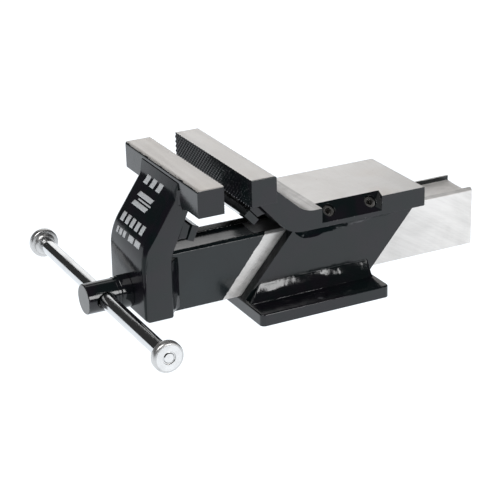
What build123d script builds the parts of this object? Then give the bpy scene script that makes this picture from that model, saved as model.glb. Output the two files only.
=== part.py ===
"""All-steel bench vise with 100 mm jaws, pipe jaws and a small anvil.

Frame: X across the jaws, +Y from the handle to the rear, +Z up. The origin is the
centre of the base plate's underside. Millimetres. One STEP file per sub-part.
"""
from build123d import *
from math import cos, radians, sin, sqrt, tan
import os

# ---- Driving dimensions -------------------------------------------------------------
# Base plate
BASE_WIDTH = 88.4
BASE_LENGTH = 86.4
BASE_THICK = 7.5
BASE_CORNER_R = 3.0
BASE_EDGE_R = 1.0
BOLT_HOLE_D = 9.0
BOLT_HOLE_X = 36.5

# Slide: a channel, open below, with a shallow groove in its top
SLIDE_HALF = 14.9
SLIDE_BOTTOM = 8.2
SLIDE_TOP = 45.3
SLIDE_REAR = 121.4
SLIDE_CHAMFER = 1.5
SLIDE_LIP = 2.8
GROOVE_DEPTH = 3.0
GROOVE_SAG = 0.6
SLIDE_WALL = 5.0
WEB_UNDERSIDE = 35.5
CAVITY_CORNER_R = 3.0

# Side plates: parallelograms that lean rearwards
SIDE_GAP = 0.3
SIDE_THICK = 6.6
SIDE_FRONT = -43.0
SIDE_REAR = 41.5
SIDE_LEAN = 34.7

# Top plate: anvil flat and swan neck
TOP_HALF = 30.2
TOP_UNDER = 47.5
TOP_UPPER = 59.5
TOP_REAR = 76.2
NECK_UPPER_POINT = (-17.5, 69.8)
NECK_UPPER_SLOPE = 42.0
NECK_UPPER_R = 17.0
NECK_UNDER_POINT = (-30.6, 63.5)
NECK_UNDER_SLOPE = 48.5
NECK_UNDER_R = 21.0
TOP_EDGE = 0.8

# Jaws
JAW_WIDTH = 100.0
JAW_DEPTH = 16.5
JAW_HEIGHT = 16.3
JAW_TOP = 93.4
JAW_GAP = 16.1
REAR_JAW_FACE = -51.1
JAW_EDGE_R = 0.7
JAW_BACK_R = 2.0

# Pipe jaws: toothed strips that stand off the arm and the neck on a thick weld
PIPE_HALF = 25.0
PIPE_STRIP_THICK = 4.3
PIPE_STRIP_LENGTH = 9.4
PIPE_STAND_OFF = 5.6
PIPE_TOOTH_PITCH = 2.5
PIPE_TOOTH_DEPTH = 0.8
PIPE_WELD_FLARE = 1.6
PIPE_WELD_INSET = 0.8
REAR_PIPE_RISE = 3.2
FRONT_PIPE_RISE = 7.1

# Front arm
ARM_HALF = 24.9
ARM_FRONT = -107.4
ARM_REAR = -89.8
ARM_BOTTOM = 9.2
ARM_FRONT_POINT = (-97.1, 68.0)
ARM_FRONT_SLOPE = 55.2
ARM_SHOULDER = (-86.4, 83.4)
ARM_TOP = 90.2
ARM_REAR_POINT = (-85.8, 55.3)
ARM_REAR_SLOPE = 66.5
ARM_FOOT_R = 3.0
ARM_BELLY_R = 36.0
ARM_SHOULDER_R = 14.0
ARM_BACK_R = 24.0
ARM_HEEL_R = 1.5

# Spindle. Its right-hand 14 x 4 trapezoidal thread is a plain rod at the outer diameter
AXIS_Z = 21.3
HEAD_D = 18.0
HEAD_FRONT = -134.9
HEAD_REAR = -116.2
BAR_Y = -123.9
CROSS_HOLE_D = 10.2
JOURNAL_D = 14.0
RUNNING = 0.08
CROSS_HOLE_MOUTH = 2.4
THREAD_D = 13.8
THREAD_REAR = 87.0
THREAD_TIP_CHAMFER = 2.0
THREAD_CLEARANCE = 0.3
WASHER_THICK = 1.5
BUSH_FLANGE_D = 19.6
BUSH_BODY_D = 18.0
COLLAR_D = 18.4
COLLAR_LENGTH = 8.0
COLLAR_PLAY = 0.3
COLLAR_CHAMFER = 0.6
PIN_D = 4.0

# Nut, fixed to the base plate by two countersunk screws from below
NUT_HALF = 9.2
NUT_FRONT = -22.0
NUT_REAR = 6.0
NUT_TOP = 33.0
NUT_SCREW_D = 6.0
NUT_SCREW_SPACING = 17.0
NUT_SCREW_TIP = 12.5
NUT_HEAD_D = 12.0
NUT_HEAD_RECESS = 0.4
NUT_SOCKET_DEPTH = 2.4
NUT_CHAMFER = 2.0

# Handle bar and its riveted caps
BAR_D = 9.2
BAR_HALF = 95.0
BAR_CENTRE_X = -1.4
CAP_D = 17.8
CAP_LENGTH = 7.5
CAP_STEP_D = 13.4
CAP_STEP_LENGTH = 2.4
CAP_FACE_D = 14.8
CAP_STEP_R = 1.6
CAP_BAND_CHAMFER = 0.9
CAP_FACE_SETBACK = 1.3
SPIGOT_D = 6.0
RIVET_GROOVE = 0.6

# Gib screws, in the right edge: they press brass pads on the slide's chamfer at 45 degrees
POCKET_INSET = 9.2
POCKET_FRONT = 5.3
POCKET_REAR = 49.2
POCKET_END_SLANT = 3.5
GIB_YS = (12.6, 41.0)
GIB_SCREW_D = 7.9
GIB_HOLE_D = 8.1
GIB_RECESS = 1.4
GIB_COUNTERSINK = 0.5
PAD_THICK = 2.0
PAD_CLEARANCE = 0.15
HEX_AF = 4.0
HEX_DEPTH = 5.0

# Weld beads: leg lengths, how far their faces are hollow, and their distance from an end
BASE_WELD = (6.5, 10.0)
TOP_WELD = (6.0, 8.5)
SLIDE_WELD = 9.0
JAW_WELD = 4.0
WELD_HOLLOW = 0.15
WELD_SETBACK = 2.0
REAR_JAW_WELD_DROP = 6.5
REAR_JAW_WELD_SETBACK = 1.6

# General
EDGE_BREAK = 0.5
OVERSHOOT = 1.0
PICK = 0.1

FRONT_JAW_REAR = REAR_JAW_FACE - JAW_GAP
FRONT_JAW_FRONT = FRONT_JAW_REAR - JAW_DEPTH
JAW_BOTTOM = JAW_TOP - JAW_HEIGHT
REAR_JAW_BACK = REAR_JAW_FACE + JAW_DEPTH
SIDE_INNER = SLIDE_HALF + SIDE_GAP
SIDE_OUTER = SIDE_INNER + SIDE_THICK


# ---- Helpers ------------------------------------------------------------------------
def side_profile(points, half_width, centre_x=0.0):
    """A (Y, Z) outline, made into a solid that spans centre_x +- half_width."""
    outline = Polygon(*points, align=None)
    return side_extrude(outline, half_width, centre_x)


def side_extrude(sketch, half_width, centre_x=0.0):
    """A sketch whose x is the part's Y and whose y is its Z, extruded along X."""
    plane = Plane(origin=(centre_x - half_width, 0, 0), x_dir=(0, 1, 0), z_dir=(1, 0, 0))
    return extrude(plane * sketch, 2 * half_width, dir=(1, 0, 0))


def cross_extrude(sketch, y_from, y_to):
    """A sketch whose x is the part's X and whose y is its Z, extruded along Y."""
    plane = Plane(origin=(0, y_to, 0), x_dir=(1, 0, 0), z_dir=(0, -1, 0))
    return extrude(plane * sketch, y_to - y_from, dir=(0, -1, 0))


def rounded(points, radii):
    """A polygon sketch with the corners named in radii, {index: radius}, rounded."""
    sketch = Polygon(*points, align=None)
    for index, radius in radii.items():
        target = Vector(*points[index])
        corner = min(sketch.vertices(), key=lambda vertex: (Vector(vertex) - target).length)
        sketch = fillet(corner, radius)
    return sketch


def y_cylinder(radius, y_from, y_to, x=0.0, z=AXIS_Z):
    """A cylinder along Y."""
    place = Location((x, (y_from + y_to) / 2, z), (90, 0, 0))
    return place * Cylinder(radius, y_to - y_from)


def x_cylinder(radius, x_from, x_to, y, z=AXIS_Z):
    """A cylinder along X."""
    place = Location(((x_from + x_to) / 2, y, z), (0, 90, 0))
    return place * Cylinder(radius, x_to - x_from)


def z_cylinder(radius, z_from, z_to, x, y):
    """A cylinder along Z."""
    return Location((x, y, (z_from + z_to) / 2)) * Cylinder(radius, z_to - z_from)


def on_line(point, slope, y):
    """Z at y on the line through point (y, z) that falls rearwards by slope degrees."""
    return point[1] - (y - point[0]) * tan(radians(slope))


def line_y(point, slope, z):
    """Y at z on the same line."""
    return point[0] - (z - point[1]) / tan(radians(slope))


def mirrored(shape):
    """The shape's mirror image across the middle plane X = 0."""
    return mirror(shape, Plane.YZ)


def bolt_cutters():
    """The two mounting holes, through the flanges of the base plate."""
    top = BASE_THICK + BASE_WELD[1] + OVERSHOOT
    return [
        z_cylinder(BOLT_HOLE_D / 2, -OVERSHOOT, top, side * BOLT_HOLE_X, 0) for side in (-1, 1)
    ]


# ---- Gib screws: axes and cutters ---------------------------------------------------
CHAMFER_MID_X = SLIDE_HALF - SLIDE_CHAMFER / 2
CHAMFER_MID_Z = SLIDE_TOP - SLIDE_CHAMFER / 2
POCKET_PLANE_SUM = TOP_HALF - POCKET_INSET + TOP_UPPER
POCKET_MID_X = (POCKET_PLANE_SUM + CHAMFER_MID_X - CHAMFER_MID_Z) / 2
SEAT_TO_POCKET = (POCKET_MID_X - CHAMFER_MID_X) * sqrt(2)


def gib_place(y, distance):
    """The frame on a gib screw's axis at a distance from the slide's chamfer.

    Its Z points outwards along the screw, away from the slide.
    """
    step = distance / sqrt(2)
    origin = (CHAMFER_MID_X + step, y, CHAMFER_MID_Z + step)
    return Plane(origin=origin, x_dir=(0, 1, 0), z_dir=(1, 0, 1))


def gib_cylinder(radius, start, end, y):
    """A cylinder on a gib screw's axis between two distances from the slide."""
    return extrude(gib_place(y, start) * Circle(radius), end - start)


def gib_cutters():
    """The two threaded holes, taken as plain bores, each with a small countersink."""
    cutters = []
    sink = GIB_COUNTERSINK
    for y in GIB_YS:
        bore = gib_cylinder(GIB_HOLE_D / 2, -OVERSHOOT, SEAT_TO_POCKET + POCKET_INSET, y)
        mouth = gib_place(y, SEAT_TO_POCKET)
        cone = Cone(GIB_HOLE_D / 2 - sink, GIB_HOLE_D / 2 + 2 * sink, 3 * sink)
        cutters += [bore, mouth * Pos(0, 0, sink) * cone]
    return cutters


# ---- Fixed body ---------------------------------------------------------------------
def base_plate():
    plate = extrude(RectangleRounded(BASE_WIDTH, BASE_LENGTH, BASE_CORNER_R), BASE_THICK)
    plate = fillet(plate.faces().sort_by(Axis.Z)[-1].edges(), BASE_EDGE_R)
    for cutter in bolt_cutters():
        plate -= cutter
    for y in nut_screw_ys():
        plate -= nut_screw_body(y, NUT_HEAD_RECESS)
        plate -= z_cylinder(NUT_HEAD_D / 2, -OVERSHOOT, NUT_HEAD_RECESS, 0, y)
    return plate


def side_plate(side):
    """One side plate: side is 1 for the right one, -1 for the left."""
    points = [
        (SIDE_FRONT, BASE_THICK),
        (SIDE_REAR, BASE_THICK),
        (SIDE_REAR + SIDE_LEAN, TOP_UNDER),
        (SIDE_FRONT + SIDE_LEAN, TOP_UNDER),
    ]
    middle = side * (SIDE_INNER + SIDE_OUTER) / 2
    plate = side_profile(points, SIDE_THICK / 2, middle)
    for cutter in gib_cutters():
        plate -= cutter
    return plate


def pocket_cutter():
    """A 45 degree pocket in the right edge of the top plate, with slanted ends."""
    corner = Polygon(
        (TOP_HALF - POCKET_INSET, TOP_UPPER),
        (TOP_HALF - POCKET_INSET, TOP_UPPER + POCKET_INSET),
        (TOP_HALF + POCKET_INSET, TOP_UPPER + POCKET_INSET),
        (TOP_HALF + POCKET_INSET, TOP_UPPER - 2 * POCKET_INSET),
        align=None,
    )
    bar = cross_extrude(corner, POCKET_FRONT, POCKET_REAR)
    far = TOP_HALF + OVERSHOOT
    slant = POCKET_END_SLANT
    end = Polygon(
        (TOP_HALF - POCKET_INSET, POCKET_REAR),
        (far, POCKET_REAR - slant),
        (far, POCKET_REAR + OVERSHOOT),
        (TOP_HALF - POCKET_INSET, POCKET_REAR + OVERSHOOT),
        align=None,
    )
    wedge = Location((0, 0, TOP_UNDER)) * extrude(end, 3 * POCKET_INSET)
    return bar - wedge


def top_plate():
    """The anvil flat and the neck that carries the rear jaw, one bent plate."""
    upper_end = on_line(NECK_UPPER_POINT, NECK_UPPER_SLOPE, REAR_JAW_BACK)
    under_end = line_y(NECK_UNDER_POINT, NECK_UNDER_SLOPE, JAW_BOTTOM)
    points = [
        (TOP_REAR, TOP_UNDER),
        (TOP_REAR, TOP_UPPER),
        (line_y(NECK_UPPER_POINT, NECK_UPPER_SLOPE, TOP_UPPER), TOP_UPPER),
        (REAR_JAW_BACK, upper_end),
        (REAR_JAW_BACK, JAW_BOTTOM),
        (under_end, JAW_BOTTOM),
        (line_y(NECK_UNDER_POINT, NECK_UNDER_SLOPE, TOP_UNDER), TOP_UNDER),
    ]
    sketch = rounded(points, {2: NECK_UPPER_R, 6: NECK_UNDER_R, 0: TOP_EDGE, 1: TOP_EDGE})
    plate = side_extrude(sketch, TOP_HALF)
    plate -= pocket_cutter()
    for hole in gib_cutters():
        plate -= hole
    return plate


def jaw_block(face_y, back_y):
    """A jaw: face_y is its gripping face, back_y the other side."""
    low, high = sorted((face_y, back_y))
    block = Location((0, (low + high) / 2, JAW_BOTTOM + JAW_HEIGHT / 2)) * Box(
        JAW_WIDTH, high - low, JAW_HEIGHT
    )
    top_back = [
        edge
        for edge in block.edges().filter_by(Axis.X)
        if abs(edge.center().Y - back_y) < PICK and edge.center().Z > JAW_TOP - PICK
    ]
    block = fillet(top_back, JAW_BACK_R)
    ends = [
        edge
        for edge in block.edges().filter_by(Axis.Z)
        if abs(edge.center().Y - back_y) < PICK
    ]
    return fillet(ends, JAW_EDGE_R)


def place_points(origin, along, outward, pairs):
    """(s, n) pairs on the two unit vectors, as (Y, Z) points."""
    return [
        (origin[0] + s * along[0] + n * outward[0], origin[1] + s * along[1] + n * outward[1])
        for s, n in pairs
    ]


# Unit vectors (Y, Z) up the neck's underside and the arm's back, and out of each
NECK_UP = (-cos(radians(NECK_UNDER_SLOPE)), sin(radians(NECK_UNDER_SLOPE)))
NECK_OUT = (-sin(radians(NECK_UNDER_SLOPE)), -cos(radians(NECK_UNDER_SLOPE)))
ARM_UP = (cos(radians(ARM_REAR_SLOPE)), sin(radians(ARM_REAR_SLOPE)))
ARM_OUT = (sin(radians(ARM_REAR_SLOPE)), -cos(radians(ARM_REAR_SLOPE)))
REAR_STRIP_ORIGIN = place_points(NECK_UNDER_POINT, NECK_UP, NECK_OUT, [(REAR_PIPE_RISE, 0.0)])[0]
FRONT_STRIP_ORIGIN = place_points(ARM_REAR_POINT, ARM_UP, ARM_OUT, [(FRONT_PIPE_RISE, 0.0)])[0]


def pipe_strip(origin, along, outward):
    """A toothed strip, centred on origin along the line, at the stand-off."""
    half = PIPE_STRIP_LENGTH / 2
    outer = PIPE_STAND_OFF + PIPE_STRIP_THICK
    pairs = [(-half, PIPE_STAND_OFF), (half, PIPE_STAND_OFF), (half, outer), (-half, outer)]
    strip = side_profile(place_points(origin, along, outward, pairs), PIPE_HALF)
    count = int(2 * PIPE_HALF / PIPE_TOOTH_PITCH)
    for index in range(1, count):
        x = -PIPE_HALF + index * PIPE_TOOTH_PITCH
        strip -= tooth_groove(origin, along, outward, outer, x)
    return strip


def tooth_groove(origin, along, outward, outer, x):
    """A V groove across a pipe jaw's face at x."""
    normal = Vector(0, outward[0], outward[1])
    direction = Vector(0, along[0], along[1])
    start = Vector(0, *place_points(origin, along, outward, [(0.0, outer)])[0])
    start = start - direction * PIPE_STRIP_LENGTH + Vector(x, 0, 0)
    plane = Plane(origin=start, x_dir=(1, 0, 0), z_dir=direction)
    depth_sign = 1.0 if plane.y_dir.dot(normal) > 0 else -1.0
    half = PIPE_TOOTH_DEPTH
    rise = depth_sign * half
    section = Polygon((-half, rise), (-half, 0), (0, -rise), (half, 0), (half, rise), align=None)
    return extrude(plane * section, 2 * PIPE_STRIP_LENGTH)


def strip_weld(origin, along, outward):
    """The thick weld between a pipe jaw and the face that carries it."""
    half = PIPE_STRIP_LENGTH / 2
    flare = PIPE_WELD_FLARE
    pairs = [
        (-half - flare, 0.0),
        (half + flare, 0.0),
        (half, PIPE_STAND_OFF / 2),
        (half - flare / 2, PIPE_STAND_OFF),
        (-half + flare / 2, PIPE_STAND_OFF),
        (-half, PIPE_STAND_OFF / 2),
    ]
    return side_profile(place_points(origin, along, outward, pairs), PIPE_HALF - PIPE_WELD_INSET)


def concave_fillet(corner, leg_a, leg_b):
    """A weld's section: a corner and two legs, with a hollow face. All (x, y) points."""
    middle = ((leg_a[0] + leg_b[0]) / 2, (leg_a[1] + leg_b[1]) / 2)
    hollow = tuple(mid + (end - mid) * WELD_HOLLOW for mid, end in zip(middle, corner))
    face = ThreePointArc(leg_a, hollow, leg_b)
    return make_face([Line(corner, leg_a), face, Line(leg_b, corner)])


def base_welds():
    """One bead along each side plate's foot, cut at the slant of the plate's front."""
    width, height = BASE_WELD
    section = concave_fillet(
        (SIDE_OUTER, BASE_THICK), (SIDE_OUTER + width, BASE_THICK), (SIDE_OUTER, BASE_THICK + height)
    )
    bead = cross_extrude(section, SIDE_FRONT, SIDE_REAR)
    rise = 2 * height
    lean = SIDE_LEAN / (TOP_UNDER - BASE_THICK)
    start = SIDE_FRONT + WELD_SETBACK
    points = [
        (SIDE_FRONT - OVERSHOOT, BASE_THICK),
        (start, BASE_THICK),
        (start + lean * rise, BASE_THICK + rise),
        (SIDE_FRONT - OVERSHOOT, BASE_THICK + rise),
    ]
    bead -= side_profile(points, BASE_WIDTH / 2)
    for cutter in bolt_cutters():
        bead -= cutter
    return [bead, mirrored(bead)]


def top_welds():
    """One bead under each edge of the top plate, along the side plate's outside."""
    width, height = TOP_WELD
    section = concave_fillet(
        (SIDE_OUTER, TOP_UNDER), (SIDE_OUTER + width, TOP_UNDER), (SIDE_OUTER, TOP_UNDER - height)
    )
    front = SIDE_FRONT + SIDE_LEAN + WELD_SETBACK
    bead = cross_extrude(section, front, SIDE_REAR + SIDE_LEAN - height - WELD_SETBACK)
    left = mirrored(bead)
    for cutter in gib_cutters():
        bead -= cutter
    return [bead, left]


def rear_jaw_weld():
    """The fill under the rear jaw, between its underside and the neck."""
    root = line_y(NECK_UNDER_POINT, NECK_UNDER_SLOPE, JAW_BOTTOM)
    low_z = JAW_BOTTOM - REAR_JAW_WELD_DROP
    low_y = line_y(NECK_UNDER_POINT, NECK_UNDER_SLOPE, low_z)
    front = REAR_JAW_FACE + REAR_JAW_WELD_SETBACK
    points = [(root, JAW_BOTTOM), (front, JAW_BOTTOM), (low_y, low_z)]
    return side_profile(points, TOP_HALF - WELD_SETBACK)


def nut_screw_ys():
    middle = (NUT_FRONT + NUT_REAR) / 2
    return [middle - NUT_SCREW_SPACING / 2, middle + NUT_SCREW_SPACING / 2]


def nut_screw_body(y, recess):
    """A countersunk screw's outer shape, head down, with its head in by recess."""
    cone_height = (NUT_HEAD_D - NUT_SCREW_D) / 2
    shank = z_cylinder(NUT_SCREW_D / 2, recess, NUT_SCREW_TIP, 0, y)
    cone = Location((0, y, recess + cone_height / 2)) * Cone(NUT_HEAD_D / 2, NUT_SCREW_D / 2, cone_height)
    return shank + cone


def hexagon():
    """The sketch of a hex socket, sized across its flats."""
    return RegularPolygon(HEX_AF / 2, 6, major_radius=False)


def nut_screws():
    screws = []
    for y in nut_screw_ys():
        socket = Pos(0, y, NUT_HEAD_RECESS) * extrude(hexagon(), NUT_SOCKET_DEPTH)
        screws.append(nut_screw_body(y, NUT_HEAD_RECESS) - socket)
    return screws


def spindle_nut():
    """The block that carries the nut's thread, taken as a plain bore."""
    length = NUT_REAR - NUT_FRONT
    block = Location((0, NUT_FRONT + length / 2, (BASE_THICK + NUT_TOP) / 2)) * Box(
        2 * NUT_HALF, length, NUT_TOP - BASE_THICK
    )
    block = chamfer(block.edges().filter_by(Axis.Y).group_by(Axis.Z)[-1], NUT_CHAMFER)
    bore_radius = THREAD_D / 2 + THREAD_CLEARANCE
    block -= y_cylinder(bore_radius, NUT_FRONT - OVERSHOOT, NUT_REAR + OVERSHOOT)
    for y in nut_screw_ys():
        block -= z_cylinder(NUT_SCREW_D / 2, 0, NUT_SCREW_TIP, 0, y)
    return block


def gib_pads():
    """The brass pads between the gib screws and the slide."""
    radius = GIB_HOLE_D / 2 - PAD_CLEARANCE
    return [gib_cylinder(radius, PAD_CLEARANCE, PAD_CLEARANCE + PAD_THICK, y) for y in GIB_YS]


def gib_screw(y):
    """A set screw with a hex socket; its tip stands just off the brass pad."""
    start = 2 * PAD_CLEARANCE + PAD_THICK
    end = SEAT_TO_POCKET - GIB_RECESS
    body = gib_cylinder(GIB_SCREW_D / 2, start, end, y)
    body = chamfer(body.faces().sort_by(Axis.Z)[-1].edges(), EDGE_BREAK)
    return body - extrude(gib_place(y, end - HEX_DEPTH) * hexagon(), HEX_DEPTH + OVERSHOOT)


# ---- Carriage -----------------------------------------------------------------------
def slide_channel():
    """The slide: chamfered lips, a web with a shallow groove, a cavity open below.

    Its front end is coped to the arm's curve.
    """
    side_top = SLIDE_TOP - SLIDE_CHAMFER
    lip_x = SLIDE_HALF - SLIDE_CHAMFER
    groove_x = SLIDE_HALF - SLIDE_LIP
    groove_z = SLIDE_TOP - GROOVE_DEPTH
    outline = make_face(
        [
            Polyline(
                (-groove_x, groove_z),
                (-groove_x, SLIDE_TOP),
                (-lip_x, SLIDE_TOP),
                (-SLIDE_HALF, side_top),
                (-SLIDE_HALF, SLIDE_BOTTOM),
                (SLIDE_HALF, SLIDE_BOTTOM),
                (SLIDE_HALF, side_top),
                (lip_x, SLIDE_TOP),
                (groove_x, SLIDE_TOP),
                (groove_x, groove_z),
            ),
            ThreePointArc((groove_x, groove_z), (0, groove_z - GROOVE_SAG), (-groove_x, groove_z)),
        ]
    )
    inner = SLIDE_HALF - SLIDE_WALL
    cavity = rounded(
        [
            (-inner, SLIDE_BOTTOM - OVERSHOOT),
            (inner, SLIDE_BOTTOM - OVERSHOOT),
            (inner, WEB_UNDERSIDE),
            (-inner, WEB_UNDERSIDE),
        ],
        {2: CAVITY_CORNER_R, 3: CAVITY_CORNER_R},
    )
    return cross_extrude(outline - cavity, ARM_REAR, SLIDE_REAR) - front_arm()


def front_arm():
    """The moving jaw's carrier: upright below, curving rearwards under the jaw."""
    knee_z = on_line(ARM_FRONT_POINT, -ARM_FRONT_SLOPE, ARM_FRONT)
    rear_knee_z = on_line(ARM_REAR_POINT, -ARM_REAR_SLOPE, ARM_REAR)
    rear_top_y = line_y(ARM_REAR_POINT, -ARM_REAR_SLOPE, JAW_BOTTOM)
    points = [
        (ARM_FRONT, ARM_BOTTOM),
        (ARM_FRONT, knee_z),
        ARM_SHOULDER,
        (FRONT_JAW_FRONT - EDGE_BREAK, ARM_TOP),
        (FRONT_JAW_FRONT, ARM_TOP),
        (FRONT_JAW_FRONT, JAW_BOTTOM),
        (rear_top_y, JAW_BOTTOM),
        (ARM_REAR, rear_knee_z),
        (ARM_REAR, ARM_BOTTOM),
    ]
    radii = {0: ARM_FOOT_R, 1: ARM_BELLY_R, 2: ARM_SHOULDER_R, 7: ARM_BACK_R, 8: ARM_HEEL_R}
    sketch = rounded(points, radii)
    arm = side_extrude(sketch, ARM_HALF)
    arm -= y_cylinder(BUSH_BODY_D / 2, ARM_FRONT - OVERSHOOT, ARM_REAR + OVERSHOOT)
    return arm


def slide_welds():
    """Upright beads between the arm's rear face and the slide's sides."""
    section = concave_fillet(
        (SLIDE_HALF, ARM_REAR), (SLIDE_HALF + SLIDE_WELD, ARM_REAR), (SLIDE_HALF, ARM_REAR + SLIDE_WELD)
    )
    height = SLIDE_TOP - SLIDE_CHAMFER - SLIDE_BOTTOM - 2 * WELD_SETBACK
    bead = Pos(0, 0, SLIDE_BOTTOM + WELD_SETBACK) * extrude(section, height)
    bead -= front_arm()
    return [bead, mirrored(bead)]


def front_jaw_welds():
    """Beads in the corners between the arm's sides and the front jaw."""
    rear_y = line_y(ARM_REAR_POINT, -ARM_REAR_SLOPE, JAW_BOTTOM) - WELD_SETBACK
    section = concave_fillet(
        (ARM_HALF, JAW_BOTTOM), (ARM_HALF + JAW_WELD, JAW_BOTTOM), (ARM_HALF, JAW_BOTTOM - JAW_WELD)
    )
    under = cross_extrude(section, FRONT_JAW_FRONT + WELD_SETBACK, rear_y)
    upright = concave_fillet(
        (ARM_HALF, FRONT_JAW_FRONT),
        (ARM_HALF + JAW_WELD / 2, FRONT_JAW_FRONT),
        (ARM_HALF, FRONT_JAW_FRONT - JAW_WELD / 3),
    )
    height = ARM_TOP - JAW_BOTTOM - 2 * WELD_SETBACK
    front = Pos(0, 0, JAW_BOTTOM + EDGE_BREAK) * extrude(upright, height)
    return [under, mirrored(under), front, mirrored(front)]


def spindle_bush():
    """The bush in the arm, with a flange that stands out of the arm's front."""
    flange_front = HEAD_REAR + WASHER_THICK + RUNNING
    body = y_cylinder(BUSH_FLANGE_D / 2, flange_front, ARM_FRONT)
    body = chamfer(body.faces().sort_by(Axis.Y)[0].edges(), EDGE_BREAK)
    body += y_cylinder(BUSH_BODY_D / 2, ARM_FRONT, ARM_REAR)
    bore = y_cylinder(JOURNAL_D / 2 + RUNNING, flange_front - OVERSHOOT, ARM_REAR + OVERSHOOT)
    return body - bore


# ---- Spindle ------------------------------------------------------------------------
COLLAR_FRONT = ARM_REAR + COLLAR_PLAY
COLLAR_REAR = COLLAR_FRONT + COLLAR_LENGTH


def spindle_screw():
    """Head with its cross hole, journal and threaded rod in one piece."""
    head = y_cylinder(HEAD_D / 2, HEAD_FRONT, HEAD_REAR)
    head = chamfer(head.faces().sort_by(Axis.Y)[0].edges(), EDGE_BREAK)
    head -= x_cylinder(CROSS_HOLE_D / 2, -HEAD_D, HEAD_D, BAR_Y)
    hole_r = CROSS_HOLE_D / 2
    for side in (-1, 1):
        mouth = Location((side * HEAD_D / 2, BAR_Y, AXIS_Z), (0, side * 90, 0))
        head -= mouth * Cone(hole_r, hole_r + CROSS_HOLE_MOUTH, CROSS_HOLE_MOUTH)
    journal = y_cylinder(JOURNAL_D / 2, HEAD_REAR, COLLAR_REAR)
    rod = y_cylinder(THREAD_D / 2, COLLAR_REAR, THREAD_REAR)
    rod = chamfer(rod.faces().sort_by(Axis.Y)[-1].edges(), THREAD_TIP_CHAMFER)
    return head + journal + rod - collar_pin_shape(COLLAR_D)


def thrust_washer():
    """The washer between the spindle's head and the bush."""
    rear = HEAD_REAR + WASHER_THICK
    ring = y_cylinder(BUSH_FLANGE_D / 2 - EDGE_BREAK, HEAD_REAR, rear)
    return ring - y_cylinder(JOURNAL_D / 2, HEAD_REAR - OVERSHOOT, rear + OVERSHOOT)


def collar_pin_shape(length):
    """A round pin across the collar, along X."""
    return x_cylinder(PIN_D / 2, -length / 2, length / 2, (COLLAR_FRONT + COLLAR_REAR) / 2)


def retaining_collar():
    """The collar behind the arm, which holds the spindle in its bush."""
    ring = y_cylinder(COLLAR_D / 2, COLLAR_FRONT, COLLAR_REAR)
    ring = chamfer(ring.edges().filter_by(GeomType.CIRCLE), COLLAR_CHAMFER)
    ring -= y_cylinder(JOURNAL_D / 2, COLLAR_FRONT - OVERSHOOT, COLLAR_REAR + OVERSHOOT)
    return ring - collar_pin_shape(2 * COLLAR_D)


def collar_pin():
    """The pin through the collar and the spindle, just under flush at both ends."""
    pin = collar_pin_shape(COLLAR_D - 2 * EDGE_BREAK)
    return chamfer(pin.edges().filter_by(GeomType.CIRCLE), EDGE_BREAK)


# ---- Handle bar ---------------------------------------------------------------------
def handle_bar():
    """The bar, turned down at both ends to spigots that are riveted in the caps."""
    shoulder = BAR_HALF - CAP_LENGTH
    bar = x_cylinder(BAR_D / 2, -shoulder, shoulder, BAR_Y)
    spigots = x_cylinder(SPIGOT_D / 2, -BAR_HALF, BAR_HALF, BAR_Y)
    return Pos(BAR_CENTRE_X, 0, 0) * (bar + spigots)


def handle_cap():
    """The right cap: a rounded inner step, a wide band and a flat outer face."""
    inner = BAR_HALF - CAP_LENGTH
    band = inner + CAP_STEP_LENGTH
    step_r = CAP_STEP_D / 2
    band_r = CAP_D / 2
    face_r = CAP_FACE_D / 2
    corner = step_r - CAP_STEP_R
    bulge = CAP_STEP_R * sin(radians(45))
    rim = BAR_HALF - CAP_FACE_SETBACK
    rim_mid = (band_r - (band_r - face_r) / 3, BAR_HALF - CAP_FACE_SETBACK / 3)
    outline = make_face(
        [
            Line((0, inner), (corner, inner)),
            ThreePointArc(
                (corner, inner), (corner + bulge, inner + CAP_STEP_R - bulge), (step_r, inner + CAP_STEP_R)
            ),
            Polyline(
                (step_r, inner + CAP_STEP_R),
                (step_r, band),
                (band_r - CAP_BAND_CHAMFER, band),
                (band_r, band + CAP_BAND_CHAMFER),
                (band_r, rim),
            ),
            ThreePointArc((band_r, rim), rim_mid, (face_r, BAR_HALF)),
            Polyline((face_r, BAR_HALF), (0, BAR_HALF), (0, inner)),
        ]
    )
    plane = Plane(origin=(0, BAR_Y, AXIS_Z), x_dir=(0, 1, 0), z_dir=(0, 0, -1))
    cap = revolve(plane * outline, Axis((0, BAR_Y, AXIS_Z), (1, 0, 0)), 360)
    outer = BAR_HALF + OVERSHOOT
    cap -= x_cylinder(SPIGOT_D / 2, inner - OVERSHOOT, outer, BAR_Y)
    return cap - x_cylinder(SPIGOT_D / 2 + RIVET_GROOVE, BAR_HALF - RIVET_GROOVE, outer, BAR_Y)


def cap_right():
    return Pos(BAR_CENTRE_X, 0, 0) * handle_cap()


def cap_left():
    return Pos(BAR_CENTRE_X, 0, 0) * mirrored(handle_cap())


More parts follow.
